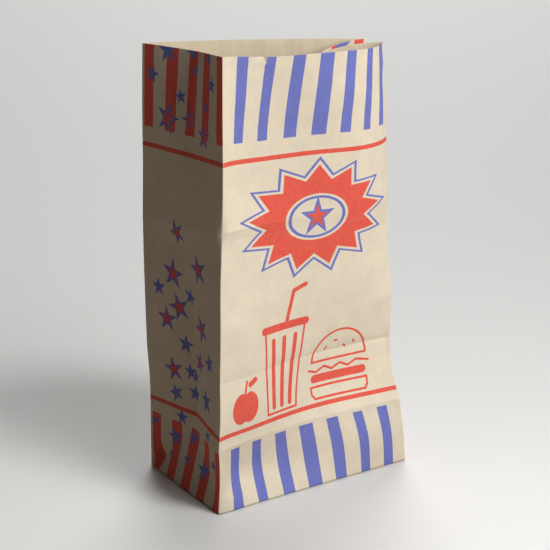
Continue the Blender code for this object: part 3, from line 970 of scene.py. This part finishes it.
def store_places(mesh, sizes, ways, rows, outward, floor_count):
    """Stores where each vertex is on the sheet, its way out, how slack it is, and how worn its fold is and
    how much painted highlight the fold gets.
    """
    width, depth = sizes.width, sizes.depth
    edges = np.array((0, width, width + depth, 2 * width + depth, 2 * (width + depth)))
    centres = np.array((width + depth / 2, 2 * width + 1.5 * depth))
    to_edge = np.abs(ways[:, None] - edges).min(axis=1)
    to_fold = np.minimum(to_edge, np.abs(ways[:, None] - centres).min(axis=1))
    to_row = np.abs(rows[:, None] - np.array((SCORE, BOTTOM_FOLD, MIDDLE_FOLD))).min(axis=1)
    slack = eased(to_fold, 0.0, FOLD_HOLD)[None, :] * eased(rows, 0.0, FOOT_HOLD)[:, None]
    # Folds are worn and painted paler as a highlight: fully at the corner folds, less at the folds across the
    # bag
    wear_and_highlight = np.maximum(
        np.exp(-((to_edge / WEAR_AND_HIGHLIGHT_WIDTH) ** 2))[None, :] + 0 * rows[:, None],
        ROW_WEAR_AND_HIGHLIGHT * np.exp(-((to_row / WEAR_AND_HIGHLIGHT_WIDTH) ** 2))[:, None] + 0 * ways[None, :],
    )
    grid = np.stack(np.meshgrid(ways, rows), -1).reshape(-1, 2)
    places = np.column_stack((grid, np.zeros(len(grid))))
    for name, kind, field, on_walls, on_floor in (
        ("sheet_place", "FLOAT_VECTOR", "vector", places, (0, 0, 0)),
        ("outward", "FLOAT_VECTOR", "vector", outward.reshape(-1, 3), (0, 0, -1)),
        ("slack", "FLOAT", "value", slack.reshape(-1, 1), (0,)),
        ("fold_wear_and_highlight", "FLOAT", "value", wear_and_highlight.reshape(-1, 1), (0,)),
    ):
        values = np.vstack((on_walls, np.tile(on_floor, (floor_count, 1))))
        mesh.attributes.new(name, kind, "POINT").data.foreach_set(field, values.reshape(-1))


def store_stars(mesh, middles, sizes):
    """Stores on each face the star that it is nearest to, for both gussets."""
    width, depth = sizes.width / MM, sizes.depth / MM
    stars, styles = [], []
    for k, (way, height, radius, core) in enumerate(STARS):
        turn = STAR_TURNS[k % len(STAR_TURNS)]
        for place, side in ((2 * width + depth + way, 1), (width + depth - way, -1)):
            stars.append((place, height, radius))
            styles.append((side * turn, -STAR_CORE * radius if core else -radius, 0))
    stars, styles = np.array(stars), np.array(styles)
    gaps = np.linalg.norm(middles[:, None, :] / MM - stars[None, :, :2], axis=2) / stars[None, :, 2]
    nearest = gaps.argmin(axis=1)
    for name, values in (("star", stars), ("star_style", styles)):
        stored = mesh.attributes.new(name, "FLOAT_VECTOR", "FACE").data
        stored.foreach_set("vector", values[nearest].reshape(-1))


class BuildPaper(Operator):
    """Builds the bag's folded sheet with its print, in place of the CAD node"""

    bl_idname = "object.lunch_bag_paper"
    bl_label = "Build the paper"

    def execute(self, context):
        sizes, colours = context.scene.bag_sizes, context.scene.bag_colours
        printed = print_group()
        outside = paper_material("Printed kraft paper", colours.paper, printed, colours, False)
        inside = paper_material("Plain kraft paper", colours.inside, printed, colours, True)
        mesh = bag_mesh(sizes)
        mesh.materials.append(outside)
        mesh.materials.append(inside)
        sheet = linked("printed_sheet", mesh)
        solid = sheet.modifiers.new("Paper", "SOLIDIFY")
        solid.thickness = sizes.paper
        solid.offset = 1
        solid.material_offset = 1
        solid.material_offset_rim = 1
        cockle = sheet.modifiers.new("Cockle", "NODES")
        cockle.node_group = cockle_tree()
        set_inputs(cockle, {
            "Cockle Depth": sizes.cockle,
            "Cockle Size": sizes.cockle_size,
            "Crumple Depth": sizes.crumple,
            "Crumple Size": sizes.crumple_size,
            "Seed": sizes.seed,
            "Outside": outside,
            "Inside": inside,
        })
        sheet = finished(sheet)
        for name in ("sheet_place", "outward", "slack"):
            sheet.data.attributes.remove(sheet.data.attributes[name])
        sheet.data.shade_smooth()
        sheet.data.set_sharp_from_angle(angle=SHARP_ANGLE)
        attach(sheet, "root")
        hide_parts(BAG_NODE)
        return {"FINISHED"}


def when_seen(tree):
    """1 for the rays that show the stage, straight or in gloss or glass, and 0 for those that light."""
    rays = node(tree, "LightPath").node.outputs
    seen = rays["Is Camera Ray"]
    for name in ("Is Glossy Ray", "Is Transmission Ray"):
        seen = node(tree, "MAXIMUM", seen, rays[name])
    return seen


def lay_floor(stage):
    """Lays a wide, plain floor that keeps the bag's shadow."""
    reach = FLOOR_REACH
    mesh = bpy.data.meshes.new("floor")
    ring = [(-reach, -reach, 0), (reach, -reach, 0), (reach, reach, 0), (-reach, reach, 0)]
    mesh.from_pydata(ring, [], [(0, 1, 2, 3)])
    # Matt laminate has an even tone and a weak sheen. It is seen pale, but lights the bag as if dark.
    material = bpy.data.materials.new("Pale laminate")
    tree = emptied(material)
    bounce, pale = tuple(stage.bounce), tuple(stage.floor)
    shade = node(tree, "Mix", when_seen(tree), bounce, pale, data_type="RGBA")
    shader = node(tree, "BsdfPrincipled", shade, None, LAMINATE_ROUGHNESS)
    node(tree, "OutputMaterial", shader)
    mesh.materials.append(material)
    floor = linked("floor", mesh)


def hang_lamps(stage):
    """A broad key from the front right and above, a softbox near the mouth, and a light from behind."""
    # Each: its place, its strength, and its width in degrees or metres
    for name, kind, place, strength, width in (
        ("key", "SUN", (0.36, -0.95, 1.25), stage.key, 16),
        ("near", "AREA", (0.14, -0.57, 0.48), stage.near, 0.5),
        ("behind", "SUN", (0.75, 1.0, 1.0), stage.behind, 40),
    ):
        lamp = bpy.data.lights.new(name, kind)
        lamp.energy = strength
        if kind == "SUN":
            lamp.angle = radians(width)
        else:
            lamp.size = width
        made = linked(name, lamp)
        made.visible_camera = False
        made.location = place
        made.rotation_euler = (AIM - Vector(place)).to_track_quat("-Z", "Y").to_euler()


def light_room(scene, stage):
    """Past the floor's far edge the room is seen as pale as the floor, and lights the bag weakly."""
    world = bpy.data.worlds.new("Room")
    tree = emptied(world)
    dim = (*Vector(linear(ROOM_LIGHT)[:3]) * stage.fill, 1.0)
    shade = node(tree, "Mix", when_seen(tree), dim, tuple(stage.room), data_type="RGBA")
    node(tree, "OutputWorld", node(tree, "Background", shade, 1.0))
    scene.world = world


def place_camera(scene):
    """Sets the camera where the photograph was taken from."""
    camera = bpy.data.cameras.new("Camera")
    camera.lens = CAMERA_LENS
    camera.sensor_width = 36.0
    made = linked("Camera", camera)
    made.location = CAMERA_PLACE
    ahead = Vector((*(part * cos(CAMERA_PITCH) for part in CAMERA_HEADING), -sin(CAMERA_PITCH)))
    made.rotation_euler = ahead.to_track_quat("-Z", "Y").to_euler()
    scene.camera = made


class BuildStage(Operator):
    """Builds the plain floor, the soft lamps, the room's light and the camera"""

    bl_idname = "object.lunch_bag_stage"
    bl_label = "Build the stage"

    def execute(self, context):
        scene, stage = context.scene, context.scene.bag_stage
        lay_floor(stage)
        hang_lamps(stage)
        light_room(scene, stage)
        scene.view_settings.view_transform = "Standard"
        place_camera(scene)
        return {"FINISHED"}


class LunchBagPanel(Panel):
    """Lists the steps that build the lunch bag, and its sizes and colours"""

    bl_idname = "VIEW3D_PT_lunch_bag"
    bl_label = "Paper Lunch Bag"
    bl_space_type = "VIEW_3D"
    bl_region_type = "UI"
    bl_category = "Lunch Bag"

    def draw(self, context):
        for operator in (BuildStage, BuildPaper):
            self.layout.operator(operator.bl_idname)
        for name in SETTINGS:
            settings = getattr(context.scene, name)
            for key in settings.__annotations__:
                self.layout.prop(settings, key)


CLASSES = (BagSizes, BagColours, StageSettings, BuildPaper, BuildStage, LunchBagPanel)


def register():
    for made in CLASSES:
        bpy.utils.register_class(made)
    for name, group in SETTINGS.items():
        setattr(bpy.types.Scene, name, PointerProperty(type=group))


def unregister():
    for name in SETTINGS:
        delattr(bpy.types.Scene, name)
    for made in reversed(CLASSES):
        bpy.utils.unregister_class(made)


def main():
    register()
    bpy.ops.object.lunch_bag_stage()
    bpy.ops.object.lunch_bag_paper()


if __name__ == "__main__":
    main()
